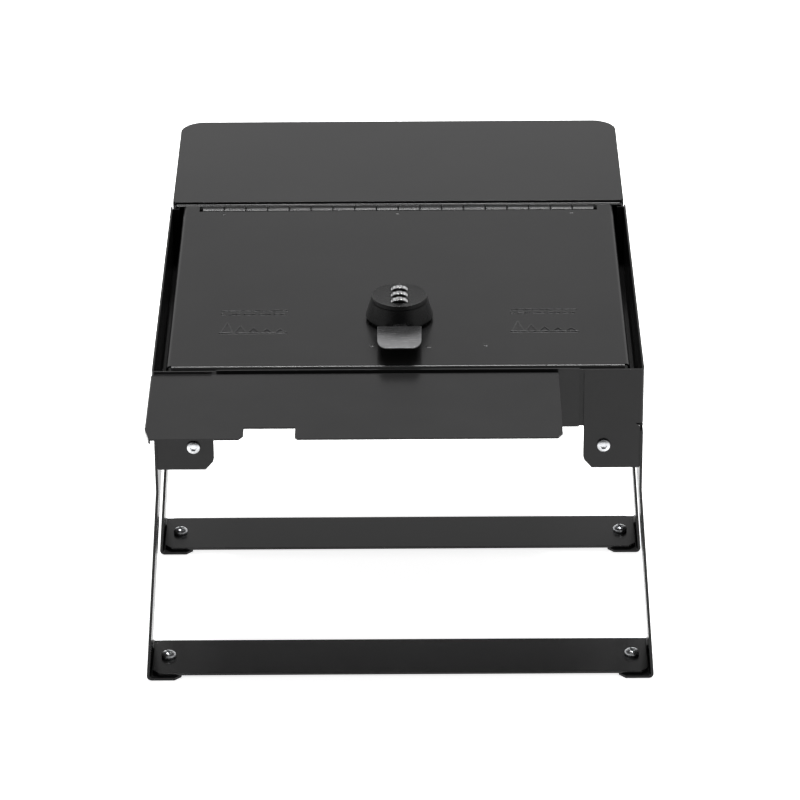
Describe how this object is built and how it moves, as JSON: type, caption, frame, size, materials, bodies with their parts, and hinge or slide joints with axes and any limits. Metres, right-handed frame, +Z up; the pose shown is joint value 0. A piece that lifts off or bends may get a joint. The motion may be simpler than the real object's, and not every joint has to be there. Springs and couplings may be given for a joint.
{
  "type": "laptop stand",
  "caption": "Lockable flat steel laptop case on two splayed leg frames, with a hinged lid, combination knob, rear cover and front shelf.",
  "frame": {"origin": "on the floor, at the middle of the stand's footprint box", "axes": "+Z up, +X to the user's right, -Y towards the user"},
  "size_m": [0.5672, 0.8274, 0.418],
  "materials": {
    "powder_coat": "fine satin black powder coat",
    "hinge_steel": "black coated steel, slightly glossier where it is worn",
    "knob_plastic": "fine satin black moulding",
    "satin_metal": "satin dark nickel",
    "chrome": "bright chrome",
    "zinc": "bright zinc plate"
  },
  "bodies": {
    "case": {"base_pan": "powder_coat", "catch_bracket": "powder_coat", "foot_bar_front": "powder_coat", "foot_bar_rear": "powder_coat", "foot_screw_front_left": "zinc", "foot_screw_front_right": "zinc", "foot_screw_rear_left": "zinc", "foot_screw_rear_right": "zinc", "front_shelf": "powder_coat", "hinge_leaf_fixed": "hinge_steel", "hinge_pin": "hinge_steel", "hinge_rail": "powder_coat", "leg_bolt_front_left": "zinc", "leg_bolt_front_right": "zinc", "leg_bolt_rear_left": "zinc", "leg_bolt_rear_right": "zinc", "leg_front_left": "powder_coat", "leg_front_right": "powder_coat", "leg_nut_front_left": "zinc", "leg_nut_front_right": "zinc", "leg_nut_rear_left": "zinc", "leg_nut_rear_right": "zinc", "leg_rear_left": "powder_coat", "leg_rear_right": "powder_coat", "rear_cover": "powder_coat", "rear_hanger_left": "powder_coat", "rear_hanger_right": "powder_coat", "rear_shell": "powder_coat", "shelf_nut_1": "zinc", "shelf_nut_2": "zinc", "shelf_nut_3": "zinc", "shelf_nut_4": "zinc", "shelf_screw_1": "zinc", "shelf_screw_2": "zinc", "shelf_screw_3": "zinc", "shelf_screw_4": "zinc", "side_panel_left": "powder_coat", "side_panel_right": "powder_coat"},
    "lid": {"lid": "powder_coat", "hinge_leaf_lid": "hinge_steel", "finger_tab": "satin_metal", "lock_base": "knob_plastic", "lock_nut": "zinc"},
    "knob": {"lock_knob": "knob_plastic", "lock_spindle": "zinc", "lock_cam": "zinc", "cam_bolt": "zinc", "dial_axle": "zinc"},
    "dial_1": {"dial_wheel_1": "chrome"},
    "dial_2": {"dial_wheel_2": "chrome"},
    "dial_3": {"dial_wheel_3": "chrome"}
  },
  "joints": [
    {"name": "lid_hinge", "type": "hinge", "parent": "case", "child": "lid", "pos_m": [0, 0.15925, 0.3837], "axis": [-1, 0, 0], "range_deg": [0, 110]},
    {"name": "knob_turn", "type": "hinge", "parent": "lid", "child": "knob", "pos_m": [0.0016, -0.13125, 0.3865], "axis": [0, 0, -1], "range_deg": [0, 90]},
    {"name": "dial_1_turn", "type": "hinge", "parent": "knob", "child": "dial_1", "pos_m": [0.0016, -0.14645, 0.405], "axis": [0, 1, 0], "continuous": true},
    {"name": "dial_2_turn", "type": "hinge", "parent": "knob", "child": "dial_2", "pos_m": [0.0016, -0.13125, 0.405], "axis": [0, 1, 0], "continuous": true},
    {"name": "dial_3_turn", "type": "hinge", "parent": "knob", "child": "dial_3", "pos_m": [0.0016, -0.11605, 0.405], "axis": [0, 1, 0], "continuous": true}
  ]
}
